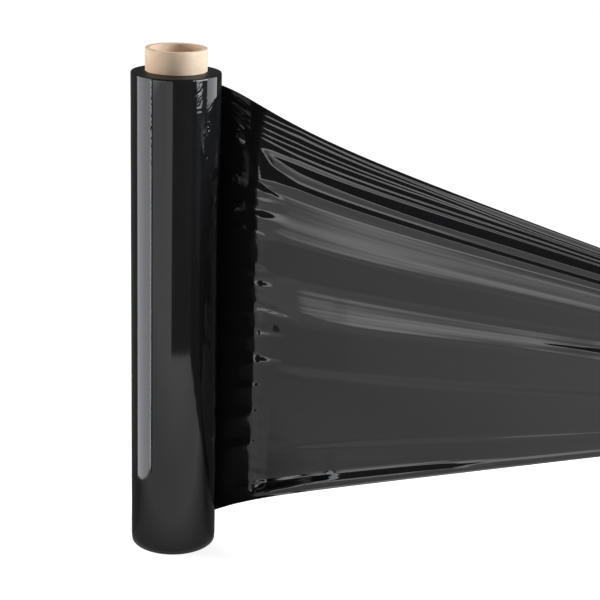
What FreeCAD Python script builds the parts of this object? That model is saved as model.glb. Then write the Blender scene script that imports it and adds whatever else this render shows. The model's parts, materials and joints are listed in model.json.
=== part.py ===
import FreeCAD, Part
import math
import os

# A hand roll of black stretch film on a cardboard core, standing on its end, with a length of
# film pulled off to one side. Millimetres. The roll's axis is Z, and its lower end lies on Z = 0.

# Core tube
core_diameter = 60.4
core_wall = 4.8
core_above_film = 23.4
core_edge_chamfer = 0.5

# Wound film
film_width = 500.0
wound_thickness = 13.9
winding_clearance = 0.1
turn_pitch = 3.4
turn_groove_width = 0.7
turn_groove_depth = 0.4

# Pulled-out film: it leaves the roll along a tangent, turned this far towards the front
pull_angle = 27.0
pulled_length = 460.0
film_thickness = 0.6
tangent_sink = 0.05
tangent_lap = 1.0

# Its edges close in fast beside the roll, then run straight to the hand that pulls
bottom_edge_angle = 20.3
bottom_neck_in = 19.5
bottom_neck_reach = 40.0
top_edge_angle = 11.3
top_neck_in = 34.3
top_neck_reach = 122.0
top_edge_turn_in = 9.0
top_turn_in_reach = 32.0

# Gathers along the top edge, a broad fold under them, soft waves below and a curled lower edge.
# Places across the film are shares of its width there, counted down from the top edge.
gather_count = 5
gathers_reach = 0.085
gather_height = 1.3
fold_place = 0.115
fold_width = 0.022
fold_height = 4.0
wave_count = 3
wave_height = 1.8
curl_reach = 0.05
curl_height = 5.0
relief_start = 15.0
relief_full = 150.0

# How finely its surface is divided: along it, across each gather and across the rest
steps_along = 8
steps_per_gather = 6
steps_below_gathers = 28

core_radius = core_diameter / 2
bore_radius = core_radius - core_wall
core_length = film_width + core_above_film
film_inner_radius = core_radius + winding_clearance
roll_radius = film_inner_radius + wound_thickness


def turned(outline):
    """A solid of revolution about Z from an outline of (radius, height) points."""
    points = [FreeCAD.Vector(radius, 0, height) for radius, height in outline]
    face = Part.Face(Part.makePolygon(points + points[:1]))
    return face.revolve(FreeCAD.Vector(0, 0, 0), FreeCAD.Vector(0, 0, 1), 360)


def core_tube():
    """A plain tube with its four sharp edges taken off."""
    edge = core_edge_chamfer
    outline = [
        (bore_radius + edge, 0),
        (core_radius - edge, 0),
        (core_radius, edge),
        (core_radius, core_length - edge),
        (core_radius - edge, core_length),
        (bore_radius + edge, core_length),
        (bore_radius, core_length - edge),
        (bore_radius, edge),
    ]
    return turned(outline)


def turn_grooves(height, inward):
    """The (radius, height) points of the grooves between turns on one end face, from the core out."""
    points = []
    radius = film_inner_radius + turn_pitch
    while radius < roll_radius - turn_pitch / 2:
        points.append((radius - turn_groove_width / 2, height))
        points.append((radius, height + inward * turn_groove_depth))
        points.append((radius + turn_groove_width / 2, height))
        radius += turn_pitch
    return points


def wound_turns():
    """The turns on the core as one solid, with rings on both end faces."""
    outline = [(film_inner_radius, 0)]
    outline += turn_grooves(0, 1)
    outline += [(roll_radius, 0), (roll_radius, film_width)]
    outline += reversed(turn_grooves(film_width, -1))
    outline += [(film_inner_radius, film_width)]
    return turned(outline)


def smooth_step(value):
    """0 below 0, 1 above 1, and a smooth rise between."""
    value = min(max(value, 0.0), 1.0)
    return value * value * (3 - 2 * value)


def bottom_edge(along):
    """Height of the lower edge of the pulled-out film, this far from the roll."""
    along = max(along, 0)
    neck = bottom_neck_in * (1 - math.exp(-along / bottom_neck_reach))
    return neck + along * math.tan(math.radians(bottom_edge_angle))


def top_edge(along):
    """Height of its upper edge. Close to the roll the edge is also turned in."""
    along = max(along, 0)
    neck = top_neck_in * math.tanh(along / top_neck_reach)
    turn_in = top_edge_turn_in * math.exp(-((along / top_turn_in_reach) ** 2))
    return film_width - neck - turn_in - along * math.tan(math.radians(top_edge_angle))


def relief(along, from_top):
    """How far the film stands out of its plane, away from the roll's axis."""
    gathers = 0.0
    if from_top < gathers_reach:
        wider = math.sqrt(from_top / gathers_reach)
        gathers = gather_height * wider * math.sin(2 * math.pi * gather_count * wider)
    fold = fold_height * math.exp(-(((from_top - fold_place) / fold_width) ** 2))
    below = (from_top - fold_place) / (1 - fold_place)
    waves = wave_height * math.sin(2 * math.pi * wave_count * below) if below > 0 else 0.0
    curl = curl_height * max(0.0, (curl_reach - (1 - from_top)) / curl_reach) ** 2
    grown = smooth_step((along - relief_start) / (relief_full - relief_start))
    return grown * (gathers - fold + waves - curl)


def film_point(along, from_top, depth):
    """A point of the pulled-out film, this deep behind its outer face."""
    turn = math.radians(pull_angle)
    out = roll_radius - tangent_sink - depth + relief(along, from_top)
    height = top_edge(along) + from_top * (bottom_edge(along) - top_edge(along))
    x = out * math.sin(turn) + along * math.cos(turn)
    y = out * math.cos(turn) - along * math.sin(turn)
    return FreeCAD.Vector(x, y, height)


def streamline(share, depth):
    """The film's smooth line at one share of its width, from the roll to the free end."""
    whole = pulled_length + tangent_lap
    stations = [whole * (step / steps_along) ** 1.5 - tangent_lap for step in range(steps_along + 1)]
    curve = Part.BSplineCurve()
    curve.interpolate([film_point(along, share, depth) for along in stations])
    return curve.toShape()


def pulled_film():
    """The pulled-out length as one solid: straight strips between streamlines on its two faces."""
    gather_steps = steps_per_gather * gather_count
    shares = [gathers_reach * (step / gather_steps) ** 2 for step in range(gather_steps)]
    for step in range(steps_below_gathers + 1):
        shares.append(gathers_reach + (1 - gathers_reach) * smooth_step(step / steps_below_gathers))
    outer = [streamline(share, 0) for share in shares]
    inner = [streamline(share, film_thickness) for share in shares]
    round_it = outer + inner[::-1]
    faces = [Part.makeRuledSurface(a, b) for a, b in zip(round_it, round_it[1:] + round_it[:1])]
    for end in (0, -1):
        corners = [line.Vertexes[end].Point for line in round_it]
        faces.append(Part.Face(Part.makePolygon(corners + corners[:1])))
    shell = Part.makeShell(faces)
    shell.sewShape()
    solid = Part.makeSolid(Part.Shell(shell.Faces))
    if solid.Volume < 0:
        solid.reverse()
    return solid


def stretch_film():
    """All the film: the turns, and the length that leaves them."""
    return wound_turns().fuse(pulled_film())


os.makedirs("parts", exist_ok=True)
for name, shape in (("core_tube", core_tube()), ("stretch_film", stretch_film())):
    if len(shape.Solids) != 1 or not shape.isValid():
        raise ValueError(name + " isn't one valid solid")
    shape.Solids[0].exportStep("parts/" + name + ".step")
    print(name, round(shape.Volume / 1000, 2), "cm3")
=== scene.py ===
import json
import math

import bpy
from mathutils import Matrix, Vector
import numpy as np


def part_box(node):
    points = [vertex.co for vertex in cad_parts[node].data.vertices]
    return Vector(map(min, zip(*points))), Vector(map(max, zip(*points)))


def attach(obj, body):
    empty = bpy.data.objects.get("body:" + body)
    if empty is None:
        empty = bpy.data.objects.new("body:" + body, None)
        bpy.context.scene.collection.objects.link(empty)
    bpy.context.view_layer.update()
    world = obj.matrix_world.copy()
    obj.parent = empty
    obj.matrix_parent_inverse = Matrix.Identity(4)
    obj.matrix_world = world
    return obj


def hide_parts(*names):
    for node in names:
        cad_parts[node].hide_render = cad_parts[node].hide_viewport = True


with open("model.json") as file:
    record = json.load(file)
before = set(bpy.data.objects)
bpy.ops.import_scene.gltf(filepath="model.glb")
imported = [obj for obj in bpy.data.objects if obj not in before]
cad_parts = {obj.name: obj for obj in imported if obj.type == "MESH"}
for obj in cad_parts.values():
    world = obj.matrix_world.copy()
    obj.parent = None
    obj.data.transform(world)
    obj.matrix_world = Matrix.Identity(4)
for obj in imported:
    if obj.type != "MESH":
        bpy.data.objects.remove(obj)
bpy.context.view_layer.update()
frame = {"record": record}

# Sizes from the frame, in metres
film_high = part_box("stretch_film")[1]
core_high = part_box("core_tube")[1]
film_width = film_high.z
core_radius = core_high.x
core_length = core_high.z
bore_radius = frame["record"]["mounts"][0]["dims"]["r_mm"] / 1000

# The wound film, as in the part's source: the gap over the core, and that gap with all the turns
winding_clearance = 0.0001
wound_over_core = 0.0140
roll_radius = core_radius + wound_over_core

# The pulled-out film, as in the part's source
pull_angle = math.radians(27)
pulled_length = 0.460
tangent_sink = 0.00005
bottom_slope = math.tan(math.radians(20.3))
bottom_neck_in = 0.0195
bottom_neck_reach = 0.040
top_slope = math.tan(math.radians(11.3))
top_neck_in = 0.0343
top_neck_reach = 0.122
top_edge_turn_in = 0.009
top_turn_in_reach = 0.032

# Its thickness as it is drawn here, and its length before it was stretched
sheet_thickness = 0.0002


def waves(x, seed, pitch):
    """A smooth uneven wave along x, mostly between -1 and 1, with about this pitch."""
    parts = 9
    draw = np.random.default_rng(seed)
    total = np.zeros_like(x)
    for _ in range(parts):
        length = pitch * draw.uniform(0.6, 1.8)
        total = total + np.sin(2 * math.pi * x / length + draw.uniform(0, 2 * math.pi))
    return total / math.sqrt(parts)


def ramp(x, start, end):
    """0 before start, 1 after end, and a smooth rise between."""
    share = np.clip((x - start) / (end - start), 0, 1)
    return share * share * (3 - 2 * share)


def bell(x, middle, width):
    """1 at the middle, with a smooth fall to both sides."""
    return np.exp(-(((x - middle) / width) ** 2))


def new_object(name, data):
    piece = bpy.data.objects.new(name, data)
    bpy.context.scene.collection.objects.link(piece)
    return piece


def grid_faces(rows, columns, closed=False, start=0):
    """Quads over a grid of points stored row by row. A closed grid joins up both ways."""
    row_steps = rows if closed else rows - 1
    column_steps = columns if closed else columns - 1
    r, c = np.meshgrid(np.arange(row_steps), np.arange(column_steps), indexing="ij")
    r2, c2 = (r + 1) % rows, (c + 1) % columns
    quads = np.stack([r * columns + c, r * columns + c2, r2 * columns + c2, r2 * columns + c], axis=-1)
    return quads.reshape(-1, 4) + start


def mesh_of(name, points, faces, uv):
    """A smooth-shaded mesh from numpy arrays, with one UV place for each point."""
    mesh = bpy.data.meshes.new(name)
    mesh.from_pydata(points.reshape(-1, 3).tolist(), [], faces.tolist())
    layer = mesh.uv_layers.new(name="UVMap")
    loops = np.zeros(len(mesh.loops), np.int32)
    mesh.loops.foreach_get("vertex_index", loops)
    layer.data.foreach_set("uv", uv.reshape(-1, 2)[loops].astype(np.float32).ravel())
    mesh.polygons.foreach_set("use_smooth", np.ones(len(mesh.polygons), bool))
    mesh.update()
    return mesh


def ring(turn, radius, height):
    """Points around the roll's axis at these angles."""
    level = np.broadcast_to(height, turn.shape)
    return np.stack([radius * np.cos(turn), radius * np.sin(turn), level], axis=1)


def turned_piece(name, rows, turn, radius, material):
    """A closed piece from rings. Its UV runs around the roll and along the piece's outline, in metres."""
    points = np.array(rows)
    run = np.cumsum(np.linalg.norm(np.diff(points[:, 0], axis=0, prepend=points[:1, 0]), axis=1))
    uv = np.stack(np.broadcast_arrays(turn[None] * radius, run[:, None]), axis=-1)
    faces = grid_faces(len(rows), len(turn), closed=True)
    piece = new_object(name, mesh_of(name, points, faces, uv))
    piece.data.materials.append(material)
    return piece


# Camera: the photograph's view, in metres, radians and millimetres of lens
camera_place = (0.12730, -1.46783, 0.76745)
camera_pitch = 0.3261
camera_roll = 0.0343
camera_lens = 91.487


def camera():
    """The camera looks along +Y, pitched down and rolled a little."""
    data = bpy.data.cameras.new("camera")
    data.lens = camera_lens
    data.sensor_width = 36
    data.clip_end = 100
    piece = new_object("camera", data)
    forward = np.array([0, math.cos(camera_pitch), -math.sin(camera_pitch)])
    level = np.array([1.0, 0, 0])
    upright = np.cross(level, forward)
    right = math.cos(camera_roll) * level + math.sin(camera_roll) * upright
    up = -math.sin(camera_roll) * level + math.cos(camera_roll) * upright
    axes = np.eye(4)
    axes[:3] = np.stack([right, up, -forward, camera_place], axis=1)
    piece.matrix_world = Matrix(axes.tolist())
    bpy.context.scene.camera = piece


# Materials

def new_material(name):
    """A material, its nodes, its links and its plain shader."""
    material = bpy.data.materials.new(name)
    material.use_nodes = True
    nodes = material.node_tree.nodes
    return material, nodes, material.node_tree.links, nodes["Principled BSDF"]


def noise(nodes, links, place, scale, stretch=(1, 1, 1), detail=3.0):
    """Noise over a place socket, with that many grains a metre, stretched by that much on each axis."""
    mapping = nodes.new("ShaderNodeMapping")
    mapping.inputs["Scale"].default_value = stretch
    links.new(place, mapping.inputs["Vector"])
    texture = nodes.new("ShaderNodeTexNoise")
    texture.inputs["Scale"].default_value = scale
    texture.inputs["Detail"].default_value = detail
    links.new(mapping.outputs["Vector"], texture.inputs["Vector"])
    return texture.outputs["Fac"]


def mapped(nodes, links, value, span, ends):
    """A value that runs from one end to the other while the given value runs through the span."""
    node = nodes.new("ShaderNodeMapRange")
    node.inputs["From Min"].default_value, node.inputs["From Max"].default_value = span
    node.inputs["To Min"].default_value, node.inputs["To Max"].default_value = ends
    links.new(value, node.inputs["Value"])
    return node.outputs["Result"]


def combined(nodes, links, operation, first, second):
    """One value from two, by a math node's operation."""
    node = nodes.new("ShaderNodeMath")
    node.operation = operation
    links.new(first, node.inputs[0])
    links.new(second, node.inputs[1])
    return node.outputs["Value"]


def mixed(nodes, links, factor, first, second):
    """One shader where the factor is 0, and another where it is 1."""
    node = nodes.new("ShaderNodeMixShader")
    links.new(factor, node.inputs["Fac"])
    links.new(first, node.inputs[1])
    links.new(second, node.inputs[2])
    return node.outputs["Shader"]


def colour_ramp(nodes, links, value, low, high):
    """A colour that runs from one (place, colour) to another."""
    node = nodes.new("ShaderNodeValToRGB")
    for element, (place, colour) in zip(node.color_ramp.elements, (low, high)):
        element.position = place
        element.color = (*colour, 1)
    links.new(value, node.inputs["Fac"])
    return node.outputs["Color"]


def add_bump(nodes, links, height, strength, distance, shader):
    """Fine relief on a shader, from a height socket."""
    bump = nodes.new("ShaderNodeBump")
    bump.inputs["Strength"].default_value = strength
    bump.inputs["Distance"].default_value = distance
    links.new(height, bump.inputs["Height"])
    links.new(bump.outputs["Normal"], shader.inputs["Normal"])


def black_film(name, streak_stretch):
    """Glossy black film: almost no colour of its own, with fine streaks from its stretching.
    The cut end of the turns, which faces up, is rougher."""
    material, nodes, links, shader = new_material(name)
    shader.inputs["IOR"].default_value = 1.5
    place = nodes.new("ShaderNodeTexCoord").outputs["UV"]
    streaks = noise(nodes, links, place, scale=900, stretch=streak_stretch)
    soft = noise(nodes, links, place, scale=60, detail=4)
    colour = colour_ramp(nodes, links, soft, (0, (0.0050, 0.0050, 0.0056)), (1, (0.0085, 0.0085, 0.0092)))
    links.new(colour, shader.inputs["Base Color"])
    gloss = mapped(nodes, links, soft, (0, 1), (0.045, 0.085))
    facing = nodes.new("ShaderNodeSeparateXYZ")
    links.new(nodes.new("ShaderNodeNewGeometry").outputs["True Normal"], facing.inputs["Vector"])
    cut_end = mapped(nodes, links, facing.outputs["Z"], (0.75, 0.95), (0, 0.40))
    links.new(combined(nodes, links, "ADD", gloss, cut_end), shader.inputs["Roughness"])
    add_bump(nodes, links, streaks, 0.25, 0.00002, shader)
    return material


def core_board():
    """Kraft board: pale tan, mottled and fibrous, with a matt face."""
    material, nodes, links, shader = new_material("core_board")
    place = nodes.new("ShaderNodeTexCoord").outputs["UV"]
    mottle = noise(nodes, links, place, scale=45, detail=5)
    fibres = noise(nodes, links, place, scale=700, stretch=(0.25, 1, 1), detail=4)
    blend = nodes.new("ShaderNodeMath")
    blend.operation = "MULTIPLY_ADD"
    blend.inputs[1].default_value = 0.45
    links.new(fibres, blend.inputs[0])
    links.new(mottle, blend.inputs[2])
    darker, lighter = (0.5, (0.57, 0.405, 0.275)), (0.95, (0.70, 0.530, 0.390))
    colour = colour_ramp(nodes, links, blend.outputs["Value"], darker, lighter)
    links.new(colour, shader.inputs["Base Color"])
    shader.inputs["Roughness"].default_value = 0.60
    add_bump(nodes, links, fibres, 0.35, 0.00012, shader)
    return material


# Core tube

core_around = 288
core_rows = 132
# Its rims are rounded over this height, and these are the heights of the points there
rim = 0.0005
rim_roundness = 0.9
rim_rows = (0.00002, 0.00015, rim)
# The seam between the strips of its outer and inner plies
seam_pitch = 0.118
seam_width = 0.0005
seam_depth = 0.00012
seam_turn = 2.2
wall_uneven = 0.00005
# The plies that its rims show
ply_steps = 11
ply_dip = 0.00010
ply_uneven = 0.00006


def core_tube(material):
    """A spiral-wound tube: its faces show a fine seam, and its rims show the plies."""
    turn = np.arange(core_around) * 2 * math.pi / core_around
    straight = np.linspace(rim, core_length - rim, core_rows)[1:-1]
    heights = np.concatenate([rim_rows, straight, [core_length - height for height in reversed(rim_rows)]])

    def wall(radius, outward, handed):
        rows = []
        for height in heights:
            from_end = min(height, core_length - height)
            round_off = rim * (1 - math.sqrt(max(0, 1 - max(0, 1 - from_end / rim) ** 2))) * rim_roundness
            across = (height / seam_pitch + handed * turn / (2 * math.pi) + seam_turn) % 1 - 0.5
            seam = seam_depth * np.exp(-((across * seam_pitch / seam_width) ** 2))
            uneven = wall_uneven * waves(turn * radius + height * 3, 11, 0.02)
            rows.append(ring(turn, radius - outward * (round_off + seam) + uneven, height))
        return rows

    def end(height, sign, inward):
        rows = []
        for step in range(1, ply_steps):
            share = step / ply_steps
            radius = core_radius + (bore_radius - core_radius) * (share if inward else 1 - share)
            dip = ply_dip * (step % 2) + ply_uneven * waves(turn * radius, 40 + step, 0.012)
            rows.append(ring(turn, radius, np.clip(height - sign * np.abs(dip), 0, core_length)))
        return rows

    outer = wall(core_radius, 1, 1)
    inner = wall(bore_radius, -1, -1)[::-1]
    rows = outer + end(core_length, 1, True) + inner + end(0.0, -1, False)
    piece = turned_piece("core_board_tube", rows, turn, core_radius, material)
    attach(piece, "root")
    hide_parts("core_tube")


# Wound film

turns_around = 320
# Its rows of points are closer above this height
closer_above = 0.36
lower_rows = 61
upper_rows = 151
edge_rounding = 0.0004
edge_reach = 0.0012
# Faint lines down its side and bands around it
line_depth = 0.000012
band_depth = 0.00003
# The rings on its ends: their count, the first one's distance from the side, how deep they lie, how far
# the top end rises towards the core, and how deep the film lies beside the core
end_rings = 20
first_ring = 0.0006
ring_depth = 0.00022
ring_uneven = 0.00005
end_rise = 0.0018
inner_dip = 0.0003

# Loose patches of the outer turn: (angle from the front, half width) in degrees, (height, half height),
# the ridges' pitch and size
loose_patches = (
    ((35, 5.0), (0.488, 0.015), 0.0040, 0.00015),
    ((30, 9.0), (0.4975, 0.002), 0.0050, 0.00010),
    ((51, 6.0), (0.445, 0.028), 0.0050, 0.00022),
    ((57, 8.0), (0.430, 0.024), 0.0060, 0.00022),
    ((-30.5, 3.5), (0.460, 0.045), 0.0036, 0.00004),
)
# The ridges' slant, as its sine and cosine, and how far they wander
slant_sine = 0.60
slant_cosine = 0.80
ridge_wander = 0.0014


def crinkles(turn, height):
    """Diagonal crinkles in the outer turn, near the top where the film peels off."""
    around = turn * roll_radius
    across = height * slant_cosine - around * slant_sine
    along = around * slant_cosine + height * slant_sine
    total = np.zeros_like(turn)
    for (angle, half_width), (middle, half_height), pitch, size in loose_patches:
        place = bell(turn, math.radians(angle - 90), math.radians(half_width))
        place = place * bell(height, middle, half_height)
        ridges = waves(across + ridge_wander * waves(along, 5, 0.014), 6, pitch)
        total = total + size * place * ridges
    return total


def wound_film(material):
    """The turns: a drum with faint tension lines, crinkled patches near its top and rings on its ends."""
    inner = core_radius + winding_clearance
    below = np.linspace(0, closer_above, lower_rows)
    above = np.linspace(closer_above, film_width, upper_rows)
    turn = -math.pi + np.arange(turns_around) * 2 * math.pi / turns_around
    rows = []

    def end_radius(step):
        return roll_radius - first_ring + (inner - roll_radius + first_ring) * step / end_rings

    def ring_dip(step, seed):
        return ring_depth * (1 + waves(np.array([step * 1.0]), seed, 3.1)[0])

    lines = line_depth * waves(turn * roll_radius, 21, 0.0035)
    for height in np.concatenate([below, above[1:]]):
        edge = min(height, film_width - height)
        rounded = edge_rounding * max(0.0, 1 - edge / edge_reach) ** 2
        bands = band_depth * waves(np.array([height]), 22, 0.06)[0]
        rows.append(ring(turn, roll_radius - rounded + lines + bands + crinkles(turn, height), height))
    for step in range(1, end_rings):
        dip = ring_dip(step, 31) + ring_uneven * waves(turn, 60 + step, 1.5)
        rows.append(ring(turn, end_radius(step), film_width - np.abs(dip) + end_rise * step / end_rings))
    rows.append(ring(turn, inner, film_width - inner_dip + end_rise))
    rows.append(ring(turn, inner, inner_dip))
    for step in range(end_rings - 1, 0, -1):
        rows.append(ring(turn, end_radius(step), np.abs(ring_dip(step, 32))))
    piece = turned_piece("film_turns", rows, turn, roll_radius, material)
    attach(piece, "root")
    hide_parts("stretch_film")


# Pulled-out film

def bottom_edge(along):
    """Height of the lower edge, this far from the roll."""
    along = np.maximum(along, 0)
    return bottom_neck_in * (1 - np.exp(-along / bottom_neck_reach)) + bottom_slope * along


def top_edge(along):
    """Height of the upper edge, which is also turned in beside the roll."""
    along = np.maximum(along, 0)
    turn_in = top_edge_turn_in * np.exp(-((along / top_turn_in_reach) ** 2))
    return film_width - top_neck_in * np.tanh(along / top_neck_reach) - turn_in - top_slope * along


def seen_share(down):
    """A place down the film as a share of its width in the front view, where the top is nearer and larger.
    The place is 0.9 of that share and 0.1 of its square."""
    return (np.sqrt(0.81 + 0.4 * down) - 0.9) / 0.2


def band(down, top, bottom, soft):
    """1 between two places across the film, with soft edges."""
    return ramp(down, top - soft, top + soft) * (1 - ramp(down, bottom - soft, bottom + soft))


def band_around(down, middle, half, soft):
    return band(down, middle - half, middle + half, soft)


def edge_of(along, stations, side):
    """The top (side 1) or the bottom (side 2) of a long shape, this far from the roll."""
    columns = np.array(stations).T
    return np.interp(along, columns[0], columns[side])


# A long shape comes to a point between these two distances from its end
point_outside = 0.002
point_inside = 0.006


def wedge(along, down, stations, soft=0.003):
    """1 inside a long shape given by (distance from the roll, top, bottom) stations, as seen shares.
    It is pointed at an end where its top and bottom meet."""
    at, top, bottom = np.array(stations).T
    inside = band(down, edge_of(along, stations, 1), edge_of(along, stations, 2), soft)
    if top[0] == bottom[0]:
        inside = inside * ramp(along, at[0] - point_outside, at[0] + point_inside)
    if top[-1] == bottom[-1]:
        inside = inside * (1 - ramp(along, at[-1] - point_inside, at[-1] + point_outside))
    return inside


# The slope that mirrors the bright top of the wall, at the film's foot, and its fall with height, in 1/m
bright_slope = 0.382
bright_slope_fall = 0.684
# Each level past the bright one leans back by this much more
slope_past_bright = 0.05


def slope_of(level, height):
    """How the film leans back for a level: at 0 it mirrors the floor, at 1 the bright top of the wall,
    and from about 2 up the dark above that."""
    to_bright = bright_slope - bright_slope_fall * height
    return to_bright * np.clip(level, -1, 1) + slope_past_bright * np.maximum(level - 1, 0)


# Light streaks between the gathers: their places and half widths at four distances from the roll
streak_stations = (0.075, 0.114, 0.250, 0.370)
streaks = (
    ((0.020, 0.012, 0.016, 0.019), (0.0012, 0.0018, 0.0050, 0.0130)),
    ((0.036, 0.028, 0.028, 0.040), (0.0012, 0.0036, 0.0020, 0.0022)),
    ((0.054, 0.048, 0.044, 0.048), (0.0012, 0.0018, 0.0024, 0.0020)),
    ((0.069, 0.063, 0.053, 0.050), (0.0012, 0.0020, 0.0024, 0.0014)),
    ((0.081, 0.082, 0.075, 0.068), (0.0014, 0.0028, 0.0032, 0.0036)),
)

# The deep fold under them and the creases below it, as stations of (distance from the roll, top, bottom)
fold_light = ((0.073, 0.110, 0.110), (0.077, 0.105, 0.123), (0.085, 0.101, 0.140), (0.114, 0.094, 0.157),
              (0.250, 0.088, 0.156), (0.370, 0.085, 0.158), (0.470, 0.082, 0.159))
fold_dark = ((0.082, 0.1135, 0.1135), (0.114, 0.108, 0.127), (0.250, 0.099, 0.134), (0.370, 0.094, 0.132),
             (0.470, 0.091, 0.131))
split_dark = ((0.060, 0.190, 0.228), (0.070, 0.197, 0.223), (0.080, 0.206, 0.219), (0.097, 0.217, 0.217))
# A long dark crease that opens towards the free end
slit = ((0.355, 0.500, 0.500), (0.400, 0.497, 0.503), (0.425, 0.492, 0.508), (0.470, 0.491, 0.519))
# Where the body of the film begins under the fold, as (distance from the roll, place)
body_top = ((0.070, 0.190), (0.090, 0.180), (0.114, 0.174), (0.250, 0.175), (0.470, 0.182))

# Dark creases that point away from the roll along the edge of its mirror image
creases = (
    ((0.055, 0.318, 0.352), (0.075, 0.324, 0.342), (0.091, 0.333, 0.333)),
    ((0.055, 0.400, 0.436), (0.072, 0.408, 0.424), (0.083, 0.417, 0.417)),
    ((0.060, 0.498, 0.530), (0.079, 0.514, 0.526), (0.119, 0.531, 0.531)),
    ((0.060, 0.568, 0.600), (0.078, 0.574, 0.588), (0.107, 0.579, 0.579)),
    ((0.060, 0.628, 0.664), (0.080, 0.638, 0.652), (0.104, 0.648, 0.648)),
    ((0.060, 0.700, 0.722), (0.070, 0.706, 0.716), (0.080, 0.711, 0.711)),
    ((0.060, 0.762, 0.790), (0.068, 0.768, 0.782), (0.079, 0.774, 0.774)),
    ((0.060, 0.842, 0.862), (0.068, 0.848, 0.858), (0.076, 0.853, 0.853)),
)


# Levels of the upper forms, which slope_of turns into slopes
pleat_level = 2.3
streak_level = 1.5
fold_dark_level = 2.4
fold_light_level = 0.75
foot_line_level = 0.95
far_line_level = 1.1
under_fold_level = 2.5
slit_level = 0.95

# Distances from the roll over which forms grow in or fade out
streaks_grow = (0.066, 0.080)
foot_line_grows = (0.085, 0.110)
far_line_grows = (0.20, 0.36)
bands_grow = (0.060, 0.200)
bands_clear = (0.060, 0.130)
curl_grows = (0.020, 0.060)
hollow_grows = (0.070, 0.090)
hollow_fades = (0.24, 0.36)

# The light side of the fold fades over this share above its foot
fold_fade = 0.022
# The seen shares over which the body of the film begins below the fold
body_begins = (0.17, 0.24)


def gathers_level(along, down):
    """The bunched top edge: dark pleats with light streaks between them, above one deep fold."""
    fold_top = edge_of(along, fold_light, 1)
    uneven = 0.10 * waves(down + 0.01 * along, 61, 0.006)
    level = pleat_level * (1 - ramp(down, fold_top - 0.003, fold_top + 0.003)) + uneven
    for middles, halves in streaks:
        middle = np.interp(along, streak_stations, middles)
        half = np.interp(along, streak_stations, halves)
        shape = np.exp(-(((down - middle) / half) ** 4))
        level = level - streak_level * shape * ramp(along, *streaks_grow)
    return level


def upper_level(along, down):
    """What each place mirrors from the top edge down to the foot of the deep fold."""
    foot = edge_of(along, fold_light, 2)
    fade = np.clip((down - foot + fold_fade) / fold_fade, 0, 1)
    foot_line = foot_line_level * ramp(along, *foot_line_grows) * bell(down, foot - 0.0040, 0.0026)
    far_line = far_line_level * ramp(along, *far_line_grows) * bell(down, 0.158, 0.0035)
    level = gathers_level(along, down) + fold_dark_level * wedge(along, down, fold_dark)
    level = level + fold_light_level * wedge(along, down, fold_light, 0.004) * (1 - fade)
    level = level + under_fold_level * band(down, foot, edge_of(along, body_top, 1), 0.0035)
    return level + foot_line - far_line


def bands_level(along, down):
    """The four soft bands down the body of the film, of which the fourth is narrow."""
    soft = 0.010
    grown = ramp(along, *bands_grow)
    clear = ramp(along, *bands_clear)
    first = 0.70 + 0.20 * ramp(down, 0.200 - 0.02 * grown, 0.300 - 0.04 * grown) - 0.14 * (1 - grown)
    second = 0.80 + 0.12 * ramp(down, 0.440, 0.490) - 0.05 * (1 - grown) + 0.32 * ramp(along, 0.410, 0.460)
    third = 0.90
    fourth = 2.0
    second_wider = 0.020 * grown + 0.022 * ramp(along, 0.330, 0.450)
    third_middle = 0.660 + 0.10 * along
    fourth_middle = 0.868 + 0.045 * np.clip(along, 0.2, 0.42)
    level = first * band(down, 0.190, 0.324, soft)
    level = level + second * clear * band(down, 0.436, 0.512 + second_wider, soft)
    level = level + third * clear * band_around(down, third_middle, 0.014, soft)
    return level + fourth * grown * band_around(down, fourth_middle, 0.007, 0.006)


def crisp_wedge(along, down, stations, soft, gain, most):
    """A wedge with crisp edges: its level rises from them by the gain, and stops at the most."""
    return np.minimum(gain * wedge(along, down, stations, soft), most)


def body_level(along, down):
    """The small forms of the body: creases and wrinkles beside the roll, the slit and faint lines."""
    level = crisp_wedge(along, down, split_dark, soft=0.002, gain=7.0, most=2.6)
    for stations in creases:
        level = level + crisp_wedge(along, down, stations, soft=0.0025, gain=8.0, most=3.4)
    uneven = 0.045 * waves(down + 0.02 * along, 71, 0.035) + 0.035 * waves(down - 0.01 * along, 72, 0.010)
    level = level + uneven * ramp(down, 0.17, 0.20) + near_roll_level(along, down)
    return level + slit_level * wedge(along, down, slit, 0.0020)


def near_roll_level(along, down):
    """Short uneven wrinkles along the line where the film leaves the roll."""
    size = 0.60
    full_until = 0.050
    fall = 0.026
    fade = ramp(along, 0.010, 0.040) * np.exp(-((np.maximum(along - full_until, 0) / fall) ** 2))
    shift = down + 0.06 * along
    uneven = waves(shift, 81, 0.060) + 0.6 * waves(shift, 82, 0.020)
    return size * fade * ramp(down, *body_begins) * (1 - 0.6 * ramp(down, 0.60, 0.80)) * uneven


def lower_level(along, down):
    """The curl of the lower edge: a thin light crest, a dark hollow that fades out, and a soft lip."""
    soft = 0.003
    grown = ramp(along, *curl_grows)
    folded = (1 - ramp(along, *hollow_fades)) * ramp(along, *hollow_grows)
    broader = ramp(along, 0.300, 0.400)
    crest = 0.952 + 0.006 * (1 - ramp(along, 0.10, 0.15)) + 0.016 * ramp(along, 0.25, 0.37)
    crest_bottom = crest + 0.006 + 0.025 * folded + 0.004 * broader
    hollow = 6.5 - 3.9 * ramp(along, 0.155, 0.175)
    lip = 2.2 * ramp(down, 0.992, 0.998)
    level = (1 - 0.06 * broader) * band(down, crest - 0.006, crest_bottom, soft)
    level = level + hollow * folded * band(down, crest + 0.005, crest + 0.025, soft)
    return grown * (level + lip)


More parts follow.
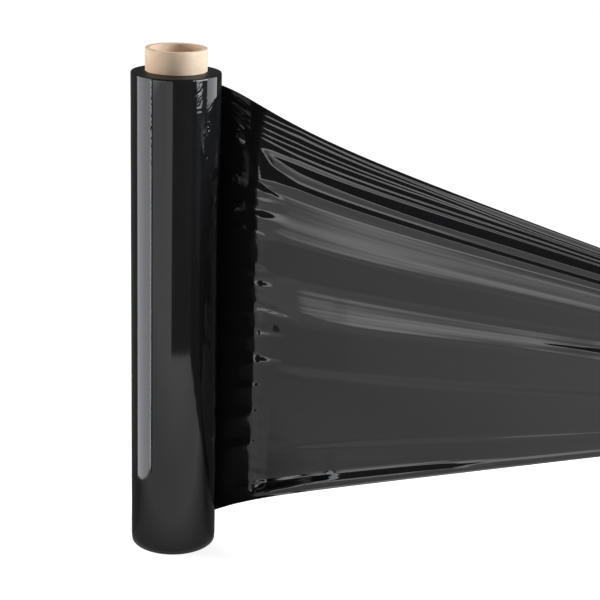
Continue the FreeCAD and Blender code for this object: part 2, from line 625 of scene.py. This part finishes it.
# Small bumps between the roll and the first wrinkles:
# distance, height, half length, half height, tilt, size
bumps = (
    (0.0465, 0.4690, 0.0060, 0.0024, 0.62, 0.0014),
    (0.0450, 0.4605, 0.0060, 0.0020, 0.62, 0.0022),
    (0.0450, 0.4550, 0.0060, 0.0020, 0.62, 0.0022),
    (0.0440, 0.4480, 0.0060, 0.0036, 0.55, 0.0028),
    (0.0440, 0.4330, 0.0070, 0.0090, 0.20, 0.0036),
    (0.0390, 0.3900, 0.0055, 0.0050, 0.20, 0.0030),
    (0.0420, 0.3560, 0.0055, 0.0048, 0.20, 0.0030),
)


def puckers(along, height):
    """How far the small bumps stand before the plane."""
    out = np.zeros(np.broadcast(along, height).shape)
    for from_roll, up, half_length, half_height, tilt, size in bumps:
        beside = (along - from_roll) / half_length
        above = (height - up + tilt * (along - from_roll)) / half_height
        out = out + size * np.exp(-(beside**2 + above**2))
    return out


# The sheet's points down the film, as (last place, count) of parts, closer near its edges, and along it
down_parts = ((0.19, 126), (0.93, 171), (1.0, 45))
along_steps = 140
first_along = -0.0010
# Distances from the roll over which the upper forms and the body's forms grow in
upper_grows = (0.0, 0.070)
body_grows = (0.010, 0.055)
# The plain parts of the film, where it comes back to the plane, as (weight, top, bottom)
plain_parts = ((2.5, 0.334, 0.420), (1.0, 0.550, 0.940))
# Small forms come back to the plane within about this share of the width
settle_reach = 0.055
# At the top edge the film starts this share of its rise behind the plane
top_lean = 0.45
# The film comes this far forward beside the roll, and its lower edge this far along its whole length
leave_forward = 0.0036
curl_forward = 0.0042
# Small ragged bumps at the edge of the roll's mirror image: size, distance from the roll and reach
ragged_size = 0.00030
ragged_place = 0.074
ragged_reach = 0.016
# Beside the roll it comes forward by at most this share of the room there
room_share = 0.7
# The camera's place seen from the film: so far along it, and so far in front of its plane
camera_along = camera_place[0] * math.cos(pull_angle) - camera_place[1] * math.sin(pull_angle)
camera_before = roll_radius - camera_place[0] * math.sin(pull_angle) - camera_place[1] * math.cos(pull_angle)


def film_places():
    """A column of distances from the roll, closer beside it, and a row of shares down the film."""
    share = np.linspace(0, 1, along_steps)
    along = first_along + (pulled_length - first_along) * (0.35 * share + 0.65 * share**1.6)
    down = [np.zeros(1)]
    for last, count in down_parts:
        down.append(np.linspace(down[-1][-1], last, count)[1:])
    return along[:, None], np.concatenate(down)[None]


def broad_forms(along, seen, height, width, steps):
    """The gathers, the fold, the bands and the curl, which come back to the plane in the plain parts."""
    top_count = down_parts[0][1]
    upper = slope_of(upper_level(along, seen), height) * ramp(along, *upper_grows)
    lower = slope_of(bands_level(along, seen) + lower_level(along, seen), height) * ramp(along, *body_grows)
    broad = np.cumsum((upper + lower) * steps, axis=1) * width
    plain = sum(weight * band(seen, top, bottom, 0.010) for weight, top, bottom in plain_parts) * steps
    lean = top_lean * broad[:, top_count - 1:top_count] * ramp(along, 0.080, 0.300)
    return broad - lean - (broad[:, -1:] - lean) * np.cumsum(plain) / plain.sum()


def small_forms(along, seen, down, height, width, steps):
    """The creases, wrinkles and faint lines, each of which comes back to the plane close by."""
    slope = slope_of(body_level(along, seen), height) * ramp(along, *body_grows)
    small = np.cumsum(slope * steps, axis=1) * width
    reach = np.exp(-(((down.T - down) / settle_reach) ** 2)) * steps
    return small - small @ (reach / reach.sum(axis=1, keepdims=True)).T


def film_relief(along, seen, down, height, width):
    """How far the film stands before its plane, towards the camera."""
    steps = np.gradient(down[0])[None]
    ragged = ragged_size * waves(height, 85, 0.022)
    ragged = ragged * bell(along, ragged_place, ragged_reach) * ramp(seen, *body_begins)
    leaving = leave_forward * ramp(along, 0.040, 0.095) * (1 - ramp(along, 0.120, 0.300))
    leaving = leaving * (1 - 0.6 * ramp(seen, 0.68, 0.85))
    forward = broad_forms(along, seen, height, width, steps)
    forward = forward + small_forms(along, seen, down, height, width, steps)
    forward = forward + ragged + leaving + puckers(along, height)
    room = roll_radius - np.sqrt(np.maximum(roll_radius**2 - np.maximum(along, 0) ** 2, 0))
    forward = np.minimum(forward, np.where(along < roll_radius, room_share * room, np.inf))
    return forward * ramp(along, 0.002, 0.020)


def closed_sheet(name, back, front, uv):
    """A mesh of two layers of points, joined around their rim."""
    rows, columns = back.shape[:2]
    count = rows * columns
    index = np.arange(count).reshape(rows, columns)
    loop = np.concatenate([index[:-1, 0], index[-1, :-1], index[:0:-1, -1], index[0, :0:-1]])
    after = np.roll(loop, -1)
    rim_faces = np.stack([loop, after, after + count, loop + count], axis=1)
    back_faces = grid_faces(rows, columns)[:, ::-1]
    faces = np.concatenate([back_faces, grid_faces(rows, columns, start=count), rim_faces])
    points = np.concatenate([back.reshape(-1, 3), front.reshape(-1, 3)])
    return mesh_of(name, points, faces, np.concatenate([uv, uv]))


def pulled_film(material):
    """The film between the roll and its free end, as a thin closed sheet."""
    along, down = film_places()
    seen = seen_share(down)
    width = top_edge(along) - bottom_edge(along)
    height = top_edge(along) - down * width
    forward = film_relief(along, seen, down, height, width)
    # Each point comes forward along its line to the camera, so that it is seen where it was
    to_camera = forward / camera_before
    seen_along = along + (camera_along - along) * to_camera
    seen_height = height + (camera_place[2] - height) * to_camera
    # The curl brings the lower edge forward too, and there it is seen lower
    lower_curl = curl_forward * ramp(seen, 0.55, 1.0) * ramp(along, 0.002, 0.040)

    def layer(depth):
        out = roll_radius - tangent_sink - forward - lower_curl - depth
        x = out * math.sin(pull_angle) + seen_along * math.cos(pull_angle)
        y = out * math.cos(pull_angle) - seen_along * math.sin(pull_angle)
        return np.stack(np.broadcast_arrays(x, y, seen_height), axis=-1)

    uv = np.stack(np.broadcast_arrays(along, film_width * (1 - down)), axis=-1).reshape(-1, 2)
    piece = new_object("film_web", closed_sheet("film_web", layer(0), layer(sheet_thickness), uv))
    piece.data.materials.append(material)
    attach(piece, "root")
    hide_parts("stretch_film")


# Floor, lamps and what the gloss reflects

def stage_mesh(name, corners):
    """One flat face that is no part of the object."""
    mesh = bpy.data.meshes.new(name)
    mesh.from_pydata(corners, [], [tuple(range(len(corners)))])
    piece = new_object(name, mesh)
    return piece


def position_ramp(nodes, links, axis, span, ends):
    """A value that runs from one to another between two places along an axis."""
    place = nodes.new("ShaderNodeNewGeometry")
    split = nodes.new("ShaderNodeSeparateXYZ")
    links.new(place.outputs["Position"], split.inputs["Vector"])
    return mapped(nodes, links, split.outputs[axis], span, ends)


def angle_ramp(nodes, links, span, ends):
    """A value that runs from one to another between two angles from the front, in degrees to the left."""
    place = nodes.new("ShaderNodeNewGeometry")
    turn = nodes.new("ShaderNodeVectorRotate")
    turn.rotation_type = "Z_AXIS"
    turn.inputs["Angle"].default_value = math.pi / 2
    split = nodes.new("ShaderNodeSeparateXYZ")
    links.new(place.outputs["Position"], turn.inputs["Vector"])
    links.new(turn.outputs["Vector"], split.inputs["Vector"])
    angle = combined(nodes, links, "ARCTAN2", split.outputs["Y"], split.outputs["X"])
    start, end = math.radians(span[0]), math.radians(span[1])
    return mapped(nodes, links, angle, (-end, -start), (ends[1], ends[0]))


floor_reach = 8.0
floor_sink = 0.0002


def floor():
    """A white floor that keeps a soft shadow. The gloss sees a painted floor: painted shade makes it darker
    close to the roll and far darker behind it, and painted light makes it a little brighter to the right."""
    corners = [(x * floor_reach, y * floor_reach, 0) for x, y in ((-1, -1), (1, -1), (1, 1), (-1, 1))]
    piece = stage_mesh("floor", corners)
    piece.location.z = -floor_sink
    material, nodes, links, shader = new_material("floor")
    shader.inputs["Base Color"].default_value = (0.85, 0.85, 0.85, 1)
    shader.inputs["Roughness"].default_value = 1.0
    shader.inputs["Specular IOR Level"].default_value = 0.0

    shade = nodes.new("ShaderNodeBsdfDiffuse")
    shade.inputs["Color"].default_value = (0.42, 0.42, 0.42, 1)
    white = nodes.new("ShaderNodeEmission")
    white.inputs["Strength"].default_value = 0.82
    shown = nodes.new("ShaderNodeAddShader")
    links.new(shade.outputs["BSDF"], shown.inputs[0])
    links.new(white.outputs["Emission"], shown.inputs[1])

    # Painted light and shade in the floor's mirrored brightness: brighter to the right, darker near and
    # behind the roll
    sideways = angle_ramp(nodes, links, (-30, 45), (1.40, 1.13))
    behind = position_ramp(nodes, links, "Y", (-0.12, 0.0), (1.0, 0.10))
    closer = position_ramp(nodes, links, "Y", (-0.60, -0.25), (1.0, 0.66))
    strength = combined(nodes, links, "MULTIPLY", sideways, behind)
    strength = combined(nodes, links, "MULTIPLY", strength, closer)
    mirrored = nodes.new("ShaderNodeEmission")
    links.new(strength, mirrored.inputs["Strength"])

    rays = nodes.new("ShaderNodeLightPath").outputs
    surface = mixed(nodes, links, rays["Is Camera Ray"], shader.outputs["BSDF"], shown.outputs["Shader"])
    surface = mixed(nodes, links, rays["Is Glossy Ray"], surface, mirrored.outputs["Emission"])
    links.new(surface, nodes["Material Output"].inputs["Surface"])
    piece.data.materials.append(material)


def glossy_only(name, corners, strength, tint=(1, 1, 1), rise=None):
    """A plain shape seen only in reflections. Strength 0 is black.
    rise is (start height, end height, strength at the end)."""
    piece = stage_mesh(name, corners)
    piece.visible_camera = False
    piece.visible_diffuse = False
    piece.visible_shadow = False
    piece.visible_transmission = False
    piece.visible_volume_scatter = False
    material = bpy.data.materials.new(name)
    material.use_nodes = True
    nodes, links = material.node_tree.nodes, material.node_tree.links
    nodes.clear()
    light = nodes.new("ShaderNodeEmission")
    light.inputs["Color"].default_value = (*tint, 1)
    light.inputs["Strength"].default_value = strength
    if rise:
        start, end, full = rise
        links.new(position_ramp(nodes, links, "Z", (start, end), (strength, full)), light.inputs["Strength"])
    output = nodes.new("ShaderNodeOutputMaterial")
    links.new(light.outputs["Emission"], output.inputs["Surface"])
    piece.data.materials.append(material)


def around_roll(distance, angle, height):
    """A place this far from the roll's axis, at this angle in degrees from the front, to the left."""
    turn = math.radians(angle)
    return (-distance * math.sin(turn), -distance * math.cos(turn), height)


def card(name, start, end, low, high, strength, tint=(1, 1, 1), rise=None):
    """An upright card between two (distance, angle) places, seen only in reflections."""
    corners = [around_roll(*start, low), around_roll(*end, low)]
    corners += [around_roll(*end, high), around_roll(*start, high)]
    glossy_only(name, corners, strength, tint, rise)


def cards():
    """The softboxes, walls and flags around the roll."""
    cool = (0.93, 0.96, 1.0)
    card("left_softbox", (0.229, 56), (0.191, 99), 0.006, 0.56, 3.3, cool)
    card("left_softbox_edge", (0.232, 55), (0.229, 56), 0.006, 0.56, 7.0, cool)
    card("left_softbox_frame", (0.240, 51), (0.232, 55), 0.0, 0.60, 0.0)
    card("left_flag", (0.191, 99), (0.60, 165), 0.0, 1.2, 0.10)
    card("left_wall", (1.35, 105), (1.75, 20), 0.0, 0.44, 1.1, rise=(0.24, 0.34, 3.5))
    card("right_wall", (1.10, -61), (0.90, -88), 0.0, 0.42, 0.17)
    card("right_window", (1.00, -57), (1.00, -77), 0.285, 0.42, 5.0, cool)
    card("right_crinkle_light", (1.10, -50), (0.90, -88), 0.42, 0.80, 12.0, cool)
    card("right_softbox", (0.90, -88), (0.85, -124), 0.0, 1.5, 3.1, cool)
    card("right_softbox_edge", (0.85, -124), (0.85, -127), 0.0, 1.5, 5.0, cool)
    card("back_flag", (0.85, -127), (0.60, -178), 0.0, 1.5, 0.05)


# The dark patches lie this far over the floor, between a near and a far distance from the roll
dark_patch_height = 0.001
dark_patch_near = 0.62
dark_patch_far = 6.0
front_angles = (1.5, -12, -25, -38, -47)
side_angles = (-47, -90, -125)
# The near edge of the side patch, which runs behind the pulled-out film: this patch is the film's painted
# shadow on the floor
film_shadow_edge = ((0.144, 0.035), (0.224, 0.004), (0.296, -0.040), (0.333, -0.093), (0.390, -0.190),
               (0.45, -0.42))


def dark_patches_and_painted_film_shadow():
    """Dark patches of floor on the right, seen only in reflections: one in front of the film, and one behind
    it that is the film's painted shadow.
    """
    corners = [around_roll(dark_patch_near, angle, dark_patch_height) for angle in front_angles]
    corners += [around_roll(dark_patch_far, angle, dark_patch_height) for angle in reversed(front_angles)]
    glossy_only("dark_floor", corners, 0.17)
    # Painted shadow: the pulled-out film's shadow on the floor behind and under it, running out to the
    # right, seen only in the gloss
    corners = [(x, y, dark_patch_height) for x, y in film_shadow_edge]
    corners += [around_roll(dark_patch_far, angle, dark_patch_height) for angle in side_angles]
    corners += [around_roll(0.6, -120, dark_patch_height)]
    glossy_only("dark_side_and_film_shadow", corners, 0.10)


def lamp(name, place, target, size, power, tint):
    """A square lamp aimed at a target, which the gloss and the camera don't see."""
    data = bpy.data.lights.new(name, "AREA")
    data.shape = "SQUARE"
    data.size = size
    data.energy = power
    data.color = tint
    piece = new_object(name, data)
    piece.location = place
    aim = np.array(target, float) - np.array(place, float)
    piece.rotation_euler = (math.atan2(math.hypot(aim[0], aim[1]), -aim[2]), 0, math.atan2(-aim[0], aim[1]))
    piece.visible_glossy = False
    piece.visible_camera = False


def studio_world():
    """White to the camera, dark to the gloss, and a plain half light on the object."""
    world = bpy.data.worlds.new("studio")
    bpy.context.scene.world = world
    world.use_nodes = True
    nodes, links = world.node_tree.nodes, world.node_tree.links
    nodes.clear()

    def background(colour, strength):
        node = nodes.new("ShaderNodeBackground")
        node.inputs["Color"].default_value = (*colour, 1)
        node.inputs["Strength"].default_value = strength
        return node.outputs["Background"]

    rays = nodes.new("ShaderNodeLightPath").outputs
    plain, white = background((1, 1, 1), 0.45), background((1, 1, 1), 1.0)
    surface = mixed(nodes, links, rays["Is Camera Ray"], plain, white)
    surface = mixed(nodes, links, rays["Is Glossy Ray"], surface, background((0.10, 0.10, 0.11), 1.0))
    links.new(surface, nodes.new("ShaderNodeOutputWorld").inputs["Surface"])


camera()
core_tube(core_board())
wound_film(black_film("black_film_turns", (1, 0.02, 1)))
pulled_film(black_film("black_film_web", (0.02, 1, 1)))
floor()
cards()
dark_patches_and_painted_film_shadow()
roll_middle = (0.0, 0, 0.5)
lamp("right_lamp", (1.10, 0.00, 1.05), roll_middle, 0.4, 21.0, (0.88, 0.95, 1.0))
lamp("left_lamp", (-1.10, 0.05, 0.62), roll_middle, 0.4, 11.0, (1.0, 0.98, 0.95))
studio_world()
bpy.context.scene.view_settings.view_transform = "Standard"
